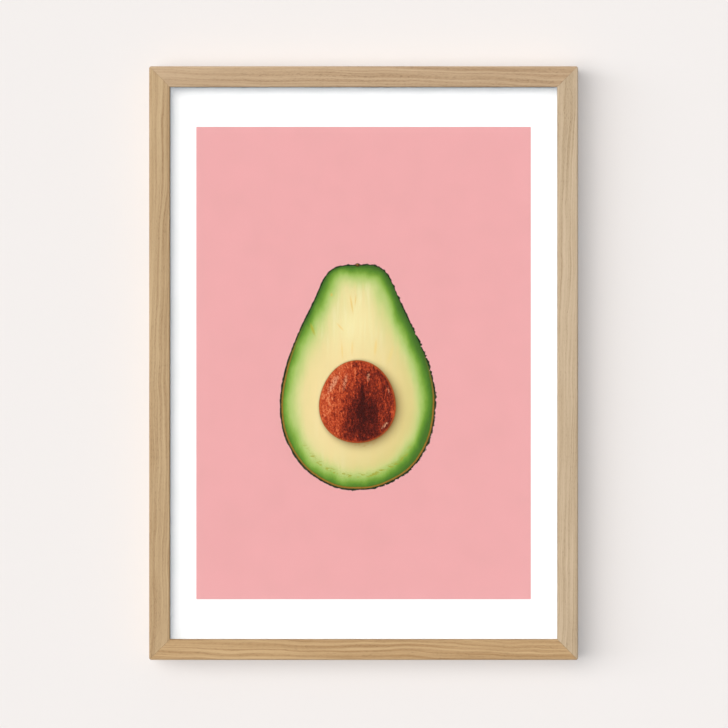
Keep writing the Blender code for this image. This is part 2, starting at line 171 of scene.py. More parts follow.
class Shape(Tree):
    """A Geometry Nodes tree with named inputs, given by their kind, which makes plain meshes."""

    def __init__(self, name, **inputs):
        super().__init__(bpy.data.node_groups.new(name, "GeometryNodeTree"))
        face = self.tree.interface
        for kind, keys in {"geometry": "Geometry", **inputs, "material": "Material"}.items():
            for key in keys.split(", "):
                face.new_socket(key, in_out="INPUT", socket_type="NodeSocket" + kind.capitalize())
        face.new_socket("Geometry", in_out="OUTPUT", socket_type="NodeSocketGeometry")
        self.inputs = self.tree.nodes.new("NodeGroupInput").outputs

    def choose(self, test, no, yes):
        return self.add("GeometryNodeSwitch", test, no, yes, input_type="FLOAT")

    def vector(self, operation, a, b=None, **scale):
        return self.add("ShaderNodeVectorMath", a, b, scale, operation=operation)

    def store(self, geometry, kind="FLOAT", **values):
        """geometry with each value kept on its points under that name."""
        for name, value in values.items():
            geometry = self.add(
                "GeometryNodeStoreNamedAttribute",
                geometry,
                {"Name": name, "Value": value},
                data_type=kind,
                domain="POINT",
            )
        return geometry

    def stored(self, name, kind="FLOAT"):
        return self.add("GeometryNodeInputNamedAttribute", name, data_type=kind)

    def finish(self, geometry):
        real = self.add("GeometryNodeRealizeInstances", geometry)
        clad = self.add("GeometryNodeSetMaterial", real, {"Material": self.inputs["Material"]})
        end = self.tree.nodes.new("NodeGroupOutput")
        self.set(end.inputs[0], clad)

    def build(self, name, line, look, closed=False, **values):
        """Runs the tree on a curve through line, and gives its result as a plain closed mesh."""
        base = curve_object(name + "_line", line, closed)
        tool = base.modifiers.new(name, "NODES")
        tool.node_group = self.tree
        sockets = {s.name: s.identifier for s in self.tree.interface.items_tree}
        tool[sockets["Material"]] = look
        for key, value in values.items():
            tool[sockets[key.replace("_", " ").capitalize()]] = value
        bpy.context.view_layer.update()
        graph = bpy.context.evaluated_depsgraph_get()
        mesh = bpy.data.meshes.new_from_object(base.evaluated_get(graph), depsgraph=graph)
        bpy.data.objects.remove(base)
        return mesh_object(name, mesh, look)


def mesh_object(name, mesh, look):
    work = bmesh.new()
    work.from_mesh(mesh)
    bmesh.ops.remove_doubles(work, verts=work.verts, dist=1e-6)
    bmesh.ops.recalc_face_normals(work, faces=work.faces)
    work.to_mesh(mesh)
    work.free()
    mesh.shade_smooth()
    mesh.set_sharp_from_angle(angle=math.radians(CREASE))
    mesh.name = name
    dress(mesh, look)
    return new_object(name, mesh)


class Look(Tree):
    """A material's shader tree, with its Principled shader as .shader."""

    def __init__(self, name, **plain):
        self.material = bpy.data.materials.new(name)
        self.material.use_nodes = True
        super().__init__(self.material.node_tree)
        self.shader = self.tree.nodes["Principled BSDF"]
        for key, value in plain.items():
            self.shader.inputs[key.replace("_", " ")].default_value = value
        self.place = self.add("ShaderNodeTexCoord").outputs["Object"]

    def noise(self, vector, scale, detail=2.0, roughness=0.5, distortion=0.0):
        """Noise of that scale, which may be a factor for each axis."""
        if isinstance(scale, tuple):
            vector = self.add("ShaderNodeVectorMath", vector, scale, operation="MULTIPLY")
            scale = 1.0
        values = {"Scale": scale, "Detail": detail, "Roughness": roughness, "Distortion": distortion}
        return self.out(self.add("ShaderNodeTexNoise", vector, values))

    def fade(self, value, low, high, to_low=0.0, to_high=1.0):
        """value taken smoothly from low..high to to_low..to_high, and clamped."""
        node = self.add("ShaderNodeMapRange", value, low, high, to_low, to_high)
        node.interpolation_type = "SMOOTHSTEP"
        return self.out(node)

    def mix(self, factor, below, above, blend="MIX"):
        node = self.add("ShaderNodeMix", data_type="RGBA", blend_type=blend)
        for key, value in (("Factor_Float", factor), ("A_Color", below), ("B_Color", above)):
            self.set(next(s for s in node.inputs if s.identifier == key), value)
        return next(s for s in node.outputs if s.identifier == "Result_Color")

    def ramp(self, value, *stops):
        """A colour ramp from (place, colour) stops."""
        node = self.add("ShaderNodeValToRGB", value)
        band = node.color_ramp
        while len(band.elements) < len(stops):
            band.elements.new(1.0)
        for element, (place, colour) in zip(band.elements, stops):
            element.position, element.color = place, colour
        return node.outputs["Color"]

    def finish(self, colour, roughness=None, height=None, depth=0.0001):
        self.set(self.shader.inputs["Base Color"], colour)
        self.set(self.shader.inputs["Roughness"], roughness)
        if height is not None:
            bump = self.add("ShaderNodeBump", {"Distance": depth, "Height": height})
            self.set(self.shader.inputs["Normal"], bump)
        return self.material


def ink(red, green, blue):
    """A linear colour from the 0 to 255 values that a paint chart gives."""
    return (*(((v / 255 + 0.055) / 1.055) ** 2.4 for v in (red, green, blue)), 1)


def oak(name, turn, start, ring_slope, light, dark):
    """Oiled oak with its grain along a rail that is turned about Y. start picks the part of the
    board it was cut from, and ring_slope is how the rings lie across the section."""
    look = Look(name, Roughness=0.55, Specular_IOR_Level=0.35)
    fade, noise, mix = look.fade, look.noise, look.mix
    times, minus, linear = look.times, look.minus, look.linear
    board = look.add("ShaderNodeMapping", look.place, start, (0, turn, 0), vector_type="POINT")
    along, deep, across = look.split(board)
    sway = linear(minus(noise(board, (11, 30, 30), 3), 0.5), 0.011, across)
    sway = linear(along, 0.022, sway)
    ring = linear(deep, ring_slope, sway)
    grain = look.joined(along, ring, deep)
    rings = noise(grain, (4, 520, 25), 3, 0.7)
    lines = noise(grain, (14, 1300, 60), 2, 0.6)
    patches = noise(grain, (16, 90, 40), 2)
    fibres = noise(grain, (75, 3600, 900), 2, 0.7)
    pores = noise(grain, (380, 6400, 1500), 1)
    rays = noise(grain, (70, 900, 300), 1)
    early = fade(rings, 0.38, 0.66)
    open_pores = times(fade(pores, 0.60, 0.70), linear(early, 0.7, 0.3))
    colour = mix(fade(rings, 0.26, 0.74, 0, 0.85), light, dark)
    colour = mix(fade(lines, 0.48, 0.70, 0, 0.4), colour, dark)
    colour = mix(fade(patches, 0.42, 0.75, 0, 0.3), colour, light)
    tone = linear(fibres, 0.22, 0.89)
    colour = mix(1.0, colour, look.add("ShaderNodeCombineColor", tone, tone, tone), "MULTIPLY")
    colour = mix(fade(rays, 0.62, 0.72, 0, 0.25), colour, light)
    colour = mix(times(open_pores, 0.55), colour, ink(98, 66, 38))
    rough = fade(look.plus(fibres, open_pores), 0.3, 1.2, 0.5, 0.72)
    relief = linear(open_pores, -0.7, times(fibres, 0.35))
    return look.finish(colour, rough, relief, 0.00012)


# The moulding's outline goes along the rail in rings. The first and last are the cut faces, and
# the steps next to them follow the frame's rounded corner, from the mitre to its end.
sweep = Shape(
    "mitred_rail",
    float="Length, Reach, Corner radius, Groove, Glue line",
    int="Steps",
    vector="Turn, Centre",
)
given = sweep.inputs
spot = sweep.split(sweep.add("GeometryNodeInputPosition"))
inwards = sweep.split(sweep.vector("CROSS_PRODUCT", sweep.add("GeometryNodeInputTangent"), (0, 0, 1)))
profile = sweep.store(given["Geometry"], inset=spot["X"], depth=spot["Y"])
profile = sweep.store(profile, inward_inset=inwards["X"], inward_depth=inwards["Y"])
line = sweep.add("GeometryNodeCurvePrimitiveLine", (0, 0, 0), (1, 0, 0))
rings = sweep.linear(given["Steps"], 2.0, 4.0)
line = sweep.add("GeometryNodeResampleCurve", line, {"Count": rings}, mode="COUNT")
share = sweep.add("GeometryNodeSplineParameter").outputs["Factor"]
line = sweep.store(line, share=share)
rail = sweep.add("GeometryNodeCurveToMesh", line, profile, {"Fill Caps": True})
last = sweep.minus(rings, 1.0)
ring = sweep.math("ROUND", sweep.times(sweep.stored("share"), last))
far_half = sweep.math("GREATER_THAN", ring, sweep.times(last, 0.5))
from_end = sweep.math("MINIMUM", ring, sweep.minus(last, ring))
at_end = sweep.math("LESS_THAN", from_end, 0.5)  # the cut face, a groove's depth under the skin
sunk = sweep.times(at_end, given["Groove"])
inset = sweep.linear(sweep.stored("inward_inset"), sunk, sweep.stored("inset"))
depth = sweep.linear(sweep.stored("inward_depth"), sunk, sweep.stored("depth"))
step = sweep.math("MAXIMUM", sweep.minus(from_end, 1.0), 0.0)
back_off = sweep.math("DIVIDE", step, given["Steps"])  # 0 at the mitre, 1 past the corner
swing = sweep.times(sweep.minus(1.0, back_off), math.pi / 4)
radius = given["Corner radius"]
left_over = sweep.minus(radius, inset)
arc_along = sweep.minus(radius, sweep.times(left_over, sweep.math("SINE", swing)))
arc_inset = sweep.minus(radius, sweep.times(left_over, sweep.math("COSINE", swing)))
straight = sweep.plus(inset, sweep.times(back_off, radius))
in_corner = sweep.add("FunctionNodeCompare", inset, radius, data_type="FLOAT", operation="LESS_THAN")
along = sweep.choose(in_corner, straight, arc_along)
along = sweep.plus(along, sweep.choose(at_end, given["Groove"], given["Glue line"]))
cut_inset = sweep.choose(in_corner, inset, arc_inset)
along = sweep.minus(sweep.times(given["Length"], 0.5), along)
along = sweep.choose(far_half, sweep.times(along, -1.0), along)
spot = sweep.joined(along, depth, sweep.minus(given["Reach"], cut_inset))
rail = sweep.add("GeometryNodeSetPosition", rail, {"Position": spot})
rail = sweep.add("GeometryNodeTransform", rail, {"Rotation": given["Turn"]})
rail = sweep.add("GeometryNodeTransform", rail, {"Translation": given["Centre"]})
sweep.finish(rail)

MOULDING = rounded(
    [
        (0, FRONT_Y, OUTER_ROUND),
        (0, BACK_Y, BACK_ROUND),
        (LAND, BACK_Y, LAND_ROUND),
        (LAND, REBATE_Y, 0),
        (FACE, REBATE_Y, LIP_ROUND),
        (FACE, FRONT_Y, SIGHT_ROUND),
    ]
)
RAILS = {
    # turn, half the frame across the rail and along it, place in the board, slope of its rings
    "rail_top": (0, HALF_HEIGHT, HALF_WIDTH, (0.31, 0.02, 0.07), 0.45),
    "rail_bottom": (math.pi, HALF_HEIGHT, HALF_WIDTH, (1.73, 0.11, 0.02), 0.75),
    "rail_left": (-math.pi / 2, HALF_WIDTH, HALF_HEIGHT, (2.47, 0.05, 0.13), 0.6),
    "rail_right": (math.pi / 2, HALF_WIDTH, HALF_HEIGHT, (3.92, 0.17, 0.09), 0.3),
}
TINTS = {  # each rail's pale and dark tone, different on every rail: the bottom darkest, the right palest
    "rail_top": (ink(192, 166, 135), ink(160, 131, 100)),
    "rail_bottom": (ink(195, 164, 123), ink(153, 118, 79)),
    "rail_left": (ink(190, 164, 128), ink(156, 126, 91)),
    "rail_right": (ink(194, 173, 146), ink(163, 140, 110)),
}
for name, (turn, reach, half_length, start, ring_slope) in RAILS.items():
    piece = sweep.build(
        "oak_" + name,
        MOULDING,
        oak("oak_" + name, -turn, start, ring_slope, *TINTS[name]),
        closed=True,
        length=2 * half_length,
        reach=reach,
        corner_radius=OUTER_ROUND,
        groove=MITRE_GROOVE,
        glue_line=GLUE_LINE,
        steps=CORNER_STEPS,
        turn=(0, turn, 0),
        centre=(0, 0, MIDDLE_Z),
    )
    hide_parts(name)
    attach(piece, "frame")

# --- Art print ---
# One sheet of heavy matt art paper, printed edge to edge by ink jet: a pink panel inside a white
# margin, with a cut avocado half drawn on it. The sheet lies flat between glass and board.

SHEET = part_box("art_print")
PANEL_HALF = Vector((0.125, 0.1765))
CELL = 0.0025  # of the grid on its face
# The drawing's outlines, in millimetres from the middle of the sheet. The fruit is a smooth ring
# through a few points. The stone's radius goes round from its top with these cosines.
FRUIT_POINTS = [
    (-4, 73.5), (9, 73), (19, 65), (30, 41), (42, 16), (50.5, -6), (54, -29), (50, -56), (36, -79),
    (14, -92), (-5, -95), (-24, -92), (-45, -78), (-59, -55), (-62.6, -30), (-58.5, -4),
    (-50, 20), (-38, 45), (-28, 66), (-18, 72.5),
]
STONE_CENTRE = (-4.6, -30.0)
STONE_WAVES = (29.85, 0.42, 1.15, 0.8)
INK_STRENGTH = 0.87


def smooth_ring(points, steps=24):
    """A closed Catmull-Rom curve through the points."""
    knots = np.array(points, float)
    t = np.linspace(0, 1, steps, endpoint=False)[:, None]
    spans = []
    for k in range(len(knots)):
        a, b, c, d = (knots[(k + j) % len(knots)] for j in (-1, 0, 1, 2))
        bend = 2 * a - 5 * b + 4 * c - d
        spans.append(b + (c - a) * t / 2 + bend * t**2 / 2 + (3 * b - a - 3 * c + d) * t**3 / 2)
    return np.concatenate(spans)


def wavy_ring(centre, waves, steps=360):
    turn = np.linspace(0, 2 * math.pi, steps, endpoint=False)
    radius = sum(w * np.cos(k * turn) for k, w in enumerate(waves))
    return np.stack([centre[0] + radius * np.sin(turn), centre[1] + radius * np.cos(turn)], 1)


def depth_inside(spots, outline):
    """How far each spot is inside the outline, and less than 0 outside it."""
    nearest = np.full(len(spots), 1e9)
    inside = np.zeros(len(spots), bool)
    for start, end in zip(outline, np.roll(outline, -1, axis=0)):
        run, away = end - start, spots - start
        share = np.clip(away @ run / (run @ run), 0, 1)
        gap = away - share[:, None] * run
        nearest = np.minimum(nearest, (gap * gap).sum(1))
        crosses = (start[1] > spots[:, 1]) != (end[1] > spots[:, 1])
        if start[1] != end[1]:
            inside ^= crosses & (away[:, 0] < away[:, 1] * run[0] / run[1])
    return np.sqrt(nearest) * np.where(inside, 1, -1)


def sheet_mesh():
    """The sheet as a closed solid with a fine grid on its face, for the picture's outlines."""
    low, high = SHEET
    xs = np.linspace(low.x, high.x, round((high.x - low.x) / CELL) + 1)
    zs = np.linspace(low.z, high.z, round((high.z - low.z) / CELL) + 1)
    spots = [(x, low.y, z) for z in zs for x in xs]
    wide, tall = len(xs), len(zs)
    faces = [
        (k, k + 1, k + wide + 1, k + wide)
        for row in range(tall - 1)
        for k in range(row * wide, row * wide + wide - 1)
    ]
    rim = list(range(wide - 1)) + [row * wide + wide - 1 for row in range(tall - 1)]
    rim += [tall * wide - 1 - k for k in range(wide - 1)]
    rim += [row * wide for row in range(tall - 1, 0, -1)]
    first = len(spots)
    spots += [(spots[k][0], high.y, spots[k][2]) for k in rim]
    around = [(k, (k + 1) % len(rim)) for k in range(len(rim))]
    faces += [(rim[b], rim[a], first + a, first + b) for a, b in around]
    faces.append(tuple(first + k for k in range(len(rim))))
    mesh = bpy.data.meshes.new("art_paper")
    mesh.from_pydata(spots, [], faces)
    return mesh


def printed_sheet(look):
    piece = mesh_object("art_print_sheet", sheet_mesh(), look)
    place = np.array([v.co for v in piece.data.vertices])
    spots = np.stack([place[:, 0], place[:, 2] - MIDDLE_Z], 1) * 1000
    for key, outline in (
        ("in_fruit", smooth_ring(FRUIT_POINTS)),
        ("in_stone", wavy_ring(STONE_CENTRE, STONE_WAVES)),
    ):
        layer = piece.data.attributes.new(key, "FLOAT", "POINT")
        layer.data.foreach_set("value", depth_inside(spots, outline).astype(np.float32))
    return piece


def dye(red, green, blue):
    """An ink on this paper, from how it should look under the picture's light."""
    return (*(INK_STRENGTH * v for v in ink(red, green, blue)[:3]), 1)


def picture_look():
    look = Look("printed_art_paper", Roughness=0.85, Specular_IOR_Level=0.25)
    fade, noise, mix = look.fade, look.noise, look.mix
    times, plus, minus, linear = look.times, look.plus, look.minus, look.linear
    # millimetres from the middle of the sheet
    middle = (0, 0, -MIDDLE_Z * 1000)
    spot = look.add("ShaderNodeMapping", look.place, middle, None, (1000, 1000, 1000))
    x, _, z = look.split(spot)
    in_fruit = look.add("ShaderNodeAttribute", attribute_name="in_fruit").outputs["Fac"]
    in_stone = look.add("ShaderNodeAttribute", attribute_name="in_stone").outputs["Fac"]

    def patch(centre, size, turn=0):
        """1 in the middle of an oval of that half size, down to 0 at its rim."""
        place, spread = (centre[0], 0, centre[1]), (size[0], 1e6, size[1])
        node = look.add(
            "ShaderNodeMapping", spot, place, (0, turn, 0), spread, vector_type="TEXTURE"
        )
        return look.add("ShaderNodeTexGradient", node, gradient_type="SPHERICAL")

    def wash(amount, below, tint, most=1):
        return mix(times(amount, most), below, dye(*tint))

    # ink on paper
    edge_x = minus(PANEL_HALF.x * 1000, look.math("ABSOLUTE", x))
    edge_z = minus(PANEL_HALF.y * 1000, look.math("ABSOLUTE", z))
    panel = fade(look.math("MINIMUM", edge_x, edge_z), -0.08, 0.08)
    drift = noise(spot, (0.02, 0.02, 0.02), 1)
    pink = mix(drift, dye(240, 174, 175), dye(242, 176, 177))
    colour = mix(panel, ink(253, 252, 252), pink)

    # flesh: green under the skin, cream towards the stone, and in half shade on the right
    cloud = noise(spot, (0.09, 0.09, 0.045), 3)
    cells = noise(spot, (0.7, 0.7, 0.5), 3, 0.65)
    flow = noise(spot, (0.34, 0.34, 0.03), 3, distortion=0.5)
    right = fade(x, -30, 52)
    bend = linear(minus(cloud, 0.5), 9, in_fruit)
    bend = linear(minus(cells, 0.5), 1.4, bend)
    bend = linear(right, -4, bend)
    flesh = look.ramp(
        look.math("DIVIDE", bend, 50),
        (0.00, dye(74, 116, 40)),
        (0.05, dye(92, 140, 44)),
        (0.09, dye(122, 164, 60)),
        (0.13, dye(154, 188, 88)),
        (0.18, dye(184, 205, 118)),
        (0.26, dye(212, 217, 142)),
        (0.36, dye(233, 223, 160)),
        (0.50, dye(243, 229, 170)),
        (0.72, dye(247, 235, 178)),
    )
    deep = fade(in_fruit, 9, 20)
    for streaks, tint, most in (
        (fade(flow, 0.46, 0.66), (245, 219, 158), 0.38),
        (fade(flow, 0.44, 0.36), (250, 242, 200), 0.22),
        (fade(in_stone, -30, -3), (244, 219, 160), 0.6),
    ):
        flesh = wash(times(streaks, deep), flesh, tint, most)
    shade = fade(linear(z, -0.35, x), -20, 62)
    shade = times(shade, fade(bend, 9, 17))
    flesh = wash(shade, flesh, (208, 190, 108), 0.45)

    # fibres and bruises
    for centre, size, turn, tint in (
        ((-9, 44), (0.9, 9.5), -0.17, (240, 205, 120)),
        ((-6, 47), (0.6, 5.5), 0.12, (238, 202, 122)),
        ((-17.5, 27), (0.8, 5.5), -0.75, (243, 208, 130)),
        ((-38, 25), (1.5, 6.5), -0.35, (186, 180, 62)),
        ((-24, 51), (1.4, 1.8), 0, (222, 196, 96)),
        ((-16, 9), (0.9, 9), -0.05, (246, 214, 140)),
        ((-8.5, 11), (1.1, 8), 0.03, (247, 217, 146)),
        ((9, 12), (1.4, 9), 0.12, (246, 215, 140)),
        ((20, 6), (1.2, 10), 0.3, (240, 216, 142)),
        ((-36, -20), (0.7, 18), 0.12, (248, 224, 164)),
        ((-41, -24), (0.6, 16), 0.1, (236, 226, 160)),
    ):
        flesh = wash(fade(patch(centre, size, turn), 0, 0.75), flesh, tint, 0.8)
    band = times(fade(in_fruit, 8.5, 10.2), fade(in_fruit, 13.5, 11.2))
    band = times(band, fade(z, -52, -74))
    dash = noise(spot, (0.28, 0.28, 0.75), 3, 0.7)
    dashes = times(fade(dash, 0.50, 0.58), band)
    flesh = wash(dashes, flesh, (168, 166, 56), 0.85)

    # the hollow that the stone lies in, shaded on the lower right
    lee = fade(linear(z, -0.55, times(x, 0.8)), -18, 46)
    reach = linear(lee, 9, 1.6)
    hollow = look.math("MAXIMUM", plus(1, look.math("DIVIDE", in_stone, reach)), 0)
    hollow = look.math("POWER", hollow, 2.2)
    hollow = times(hollow, linear(lee, 0.55, 0.35))
    flesh = mix(hollow, flesh, dye(122, 92, 44))
    foot = times(fade(in_stone, -5.5, -0.5), patch((2, -62), (18, 8)))
    tufts = fade(noise(spot, (0.9, 0.9, 0.6), 3), 0.5, 0.66)
    flesh = wash(times(foot, tufts), flesh, (176, 124, 44), 0.9)

    # skin: a bumpy dark peel, with a golden line inside it round the fuller end
    low = fade(linear(x, 0.25, z), 24, -26)
    bumps = minus(noise(spot, 0.30, 3, 0.6), 0.47)
    edge = linear(bumps, linear(right, 3, 2.2), in_fruit)
    inner = minus(in_fruit, linear(bumps, 0.7, linear(low, 0.35, 0.85)))
    dusk = fade(inner, 0, 2.4, 0.5, 0)
    flesh = mix(dusk, flesh, dye(44, 84, 28))
    gold = mix(cells, dye(128, 88, 26), dye(176, 130, 50))
    ring = times(fade(inner, 1.35, 0.95), low)
    flesh = mix(ring, flesh, gold)
    warts = fade(noise(spot, 1.1, 3), 0.4, 0.7)
    peel = mix(warts, dye(20, 34, 16), dye(62, 78, 46))
    flesh = mix(fade(inner, 0.12, -0.12), flesh, peel)
    colour = mix(fade(edge, -0.12, 0.12), colour, flesh)
    stem = patch((-4.5, 73.3), (2.6, 1.7))
    colour = mix(fade(stem, 0.1, 0.4), colour, dye(74, 44, 26))
    colour = mix(fade(patch((-4.8, 73.6), (1.1, 0.9)), 0.1, 0.5), colour, dye(150, 112, 52))

    # stone: a thin marbled skin over a brown kernel
    grain = noise(spot, (0.38, 0.38, 0.14), 5, 0.72, 1.1)
    speck = noise(spot, (0.9, 0.9, 0.65), 3, 0.8)
    vein = noise(spot, (0.16, 0.16, 0.045), 4, 0.6, 0.8)
    lit = fade(linear(z, 0.35, times(x, -1)), -18, 26)
    tone = linear(grain, 0.5, times(speck, 0.5))
    tone = linear(minus(tone, 0.5), 2.3, 0.53)
    tone = plus(tone, linear(lit, 0.26, -0.16))
    heart = patch((-1, -38), (18, 27))
    tone = linear(heart, -0.34, tone)
    cleft = patch((-1, -20), (2.6, 20))
    tone = linear(cleft, -0.3, tone)
    tone = plus(tone, fade(vein, 0.56, 0.7, 0, 0.16))
    coat = look.ramp(
        tone,
        (0.10, dye(62, 14, 8)),
        (0.28, dye(104, 28, 16)),
        (0.42, dye(146, 48, 26)),
        (0.55, dye(188, 68, 34)),
        (0.68, dye(212, 92, 50)),
        (0.86, dye(234, 146, 98)),
    )
    for centre, size, turn, most in (
        ((-23, -16), (3, 11), 0.5, 0.6),
        ((-14, -14), (2.2, 9), 0.2, 0.45),
        ((3.5, -10), (1.6, 5.5), 0, 0.5),
        ((16, -46.5), (1.4, 5), 0.75, 0.75),
        ((18.5, -20), (0.9, 5), -0.25, 0.4),
    ):
        gleam = times(patch(centre, size, turn), fade(speck, 0.35, 0.6))
        coat = wash(fade(gleam, 0.05, 0.6), coat, (240, 176, 136), most)
    coat = mix(fade(in_stone, 1.8, 0.3, 0, 0.55), coat, dye(200, 92, 40))
    coat = mix(fade(in_stone, 0.5, 0, 0, 0.6), coat, dye(112, 60, 30))
    colour = mix(fade(in_stone, -0.2, 0.2), colour, coat)
    tooth = noise(spot, 3, 3)
    return look.finish(colour, None, tooth, 0.00002)


sheet = printed_sheet(picture_look())
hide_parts("art_print")
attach(sheet, "frame")

# --- Glazing ---
# A pane of 2 mm float glass, cut to drop into the rebate in front of the sheet. Its faces are
# as they left the float, with a breath of dust on them, and its cut edges show green.

EDGE_FADE = (0.0002, 0.0012)  # how deep the green of its cut edges shows, from the edge
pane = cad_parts["glazing"]
look = Look("float_glass", Roughness=0.0, IOR=1.5, Transmission_Weight=1.0)
dust = look.noise(look.place, 45.0, 4, 0.6)
clear = look.mix(look.fade(dust, 0.35, 0.75), ink(254, 255, 255), ink(251, 253, 252))
x, _, z = look.split(look.place)
from_side = look.minus(PANE[1].x, look.math("ABSOLUTE", x))
from_end = look.minus(z, MIDDLE_Z)
from_end = look.minus((PANE[1].z - PANE[0].z) / 2, look.math("ABSOLUTE", from_end))
at_edge = look.fade(look.math("MINIMUM", from_side, from_end), *EDGE_FADE, 1, 0)
look.finish(look.mix(at_edge, clear, ink(176, 214, 198)))
dress(pane.data, look.material)
pane.visible_shadow = False

# --- Backing board ---
# A panel of 2.5 mm hardboard, pressed from wood fibres and sawn to size. It drops in behind the
# sheet with its smooth side out, and keeps the sheet flat against the glass.

look = Look("hardboard", Roughness=0.72, Specular_IOR_Level=0.3)
clouds = look.noise(look.place, 22.0, 4, 0.6)
fibres = look.noise(look.place, (900, 900, 2400), 3, 0.7)
threads = look.noise(look.place, (2600, 900, 700), 3, 0.7)
chips = look.add("ShaderNodeTexVoronoi", look.place, {"Scale": 900.0}, feature="F1")
mottle = look.noise(look.place, 170.0, 4, 0.65)
colour = look.mix(clouds, ink(134, 104, 76), ink(162, 130, 98))
colour = look.mix(look.fade(mottle, 0.36, 0.5, 0.4, 0), colour, ink(112, 84, 58))
colour = look.mix(look.fade(mottle, 0.52, 0.68, 0, 0.4), colour, ink(186, 154, 118))
colour = look.mix(look.fade(fibres, 0.5, 0.75, 0, 0.5), colour, ink(94, 63, 40))
colour = look.mix(look.fade(threads, 0.5, 0.75, 0, 0.45), colour, ink(184, 148, 106))
chip = look.fade(chips.outputs["Distance"], 0.1, 0.35, 0.2, 0)
colour = look.mix(chip, colour, ink(96, 68, 46))
scuffs = look.noise(look.place, (40, 400, 300), 4, distortion=1.5)
scuffs = look.fade(scuffs, 0.60, 0.76, 0, 0.4)
colour = look.mix(scuffs, colour, ink(190, 164, 130))
rough = look.linear(fibres, 0.25, 0.55)
look.finish(colour, rough, look.linear(fibres, 0.5, threads), 0.00006)
dress(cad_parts["backing_board"].data, look.material)

# --- Board tabs ---
# Ten flexible tabs of zinc plated spring steel, fired edge first into the rebate's walls. They
# lie just behind the board and keep it in, and they bend up by hand to let it out.

TAB_REACH, TAB_IN_WOOD, TAB_WIDTH = 0.012, 0.006, 0.009
TAB_THICKNESS, TAB_CORNER, TAB_BOW, TAB_EDGE = 0.0004, 0.002, 0.0007, 0.00008
SIDE_TAB_PITCH, END_TAB_PITCH = 0.140, 0.130


def copies(shape, name, line, look, spots, **values):
    """One plain mesh of the tree's piece set out at the (place, turn) spots."""
    mesh = bpy.data.meshes.new(name + "_places")
    mesh.from_pydata([place for place, _ in spots], [], [])
    turns = mesh.attributes.new("turn", "FLOAT_VECTOR", "POINT")
    turns.data.foreach_set("vector", [value for _, turn in spots for value in turn])
    places = new_object(name + "_places", mesh)
    piece = shape.build(name, line, look, places=places, **values)
    bpy.data.objects.remove(places)
    return piece


def set_out(shape, piece):
    """Copies of piece, one at each point of the tree's Places."""
    spots = shape.add("GeometryNodeObjectInfo", shape.inputs["Places"]).outputs["Geometry"]
    turn = shape.add("FunctionNodeEulerToRotation", shape.stored("turn", "FLOAT_VECTOR"))
    values = {"Points": spots, "Instance": piece, "Rotation": turn}
    return shape.add("GeometryNodeInstanceOnPoints", values)


# A strip bent along the base curve, with rounded long edges. Across is the way of its width,
# and its two ends have their corners cut round by the start and end corner.
strip = Shape(
    "bent_strips",
    object="Places",
    float="Width, Thickness, Edge radius, Start corner, End corner",
    vector="Across",
)
given = strip.inputs
length = strip.add("GeometryNodeSplineLength").outputs["Length"]
from_start = strip.add("GeometryNodeSplineParameter").outputs["Length"]
path = strip.store(
    given["Geometry"], from_start=from_start, from_end=strip.minus(length, from_start)
)
spot, way = strip.add("GeometryNodeInputPosition"), strip.add("GeometryNodeInputTangent")
path = strip.store(path, "FLOAT_VECTOR", spot=spot, way=way)
section = strip.add(
    "GeometryNodeCurvePrimitiveQuadrilateral", given["Width"], given["Thickness"], mode="RECTANGLE"
)
section = strip.add(
    "GeometryNodeFilletCurve", section, {"Count": 3, "Radius": given["Edge radius"]}, mode="POLY"
)
place = strip.split(strip.add("GeometryNodeInputPosition"))
section = strip.store(section, across=place["X"], through=place["Y"])
bent = strip.add("GeometryNodeCurveToMesh", path, section, {"Fill Caps": True})
half = narrow = strip.times(given["Width"], 0.5)
for end, corner in (("from_start", given["Start corner"]), ("from_end", given["End corner"])):
    short = strip.math("MAXIMUM", strip.minus(corner, strip.stored(end)), 0.0)
    chord = strip.minus(strip.times(corner, corner), strip.times(short, short))
    chord = strip.math("SQRT", strip.math("MAXIMUM", chord, 0.0))
    narrow = strip.math("MINIMUM", narrow, strip.plus(strip.minus(half, corner), chord))
across = strip.times(strip.stored("across"), strip.math("DIVIDE", narrow, half))
sideways = strip.vector("CROSS_PRODUCT", strip.stored("way", "FLOAT_VECTOR"), given["Across"])
place = strip.vector("SCALE", sideways, Scale=strip.stored("through"))
place = strip.vector("ADD", place, strip.vector("SCALE", given["Across"], Scale=across))
place = strip.vector("ADD", place, strip.stored("spot", "FLOAT_VECTOR"))
bent = strip.add("GeometryNodeSetPosition", bent, {"Position": place})
strip.finish(set_out(strip, bent))


def plated(name, tint, dull):
    """Thin bright plating over rolled steel: fine rolling marks, faint stains and handling."""
    look = Look(name, Metallic=1.0)
    grain = look.noise(look.place, (2200, 2200, 9000), 2, 0.7)
    stains = look.noise(look.place, 260.0, 4, 0.6)
    marks = look.noise(look.place, (500, 500, 5200), 3, 0.7, 0.6)
    marks = look.fade(marks, 0.6, 0.72)
    colour = look.mix(look.fade(stains, 0.35, 0.7), tint, dull)
    colour = look.mix(look.times(marks, 0.25), colour, ink(246, 246, 244))
    rough = look.linear(marks, 0.12, look.linear(stains, 0.22, 0.14))
    relief = look.linear(marks, -0.6, grain)
    return look.finish(colour, rough, relief, 0.000008)


def bowed(reach, steps=10):
    """The tab's middle line as (x, y): straight in the wood, then bowed a little off the board."""
    line = [(-TAB_IN_WOOD, 0), (0, 0)]
    line += [(reach * k / steps, TAB_BOW * (k / steps) ** 2) for k in range(1, steps - 1)]
    tip = [reach - TAB_CORNER * (1 - math.sin(k * math.pi / 12)) for k in range(1, 7)]
    return line + [(x, TAB_BOW * (x / reach) ** 2) for x in tip if x > line[-1][0]]


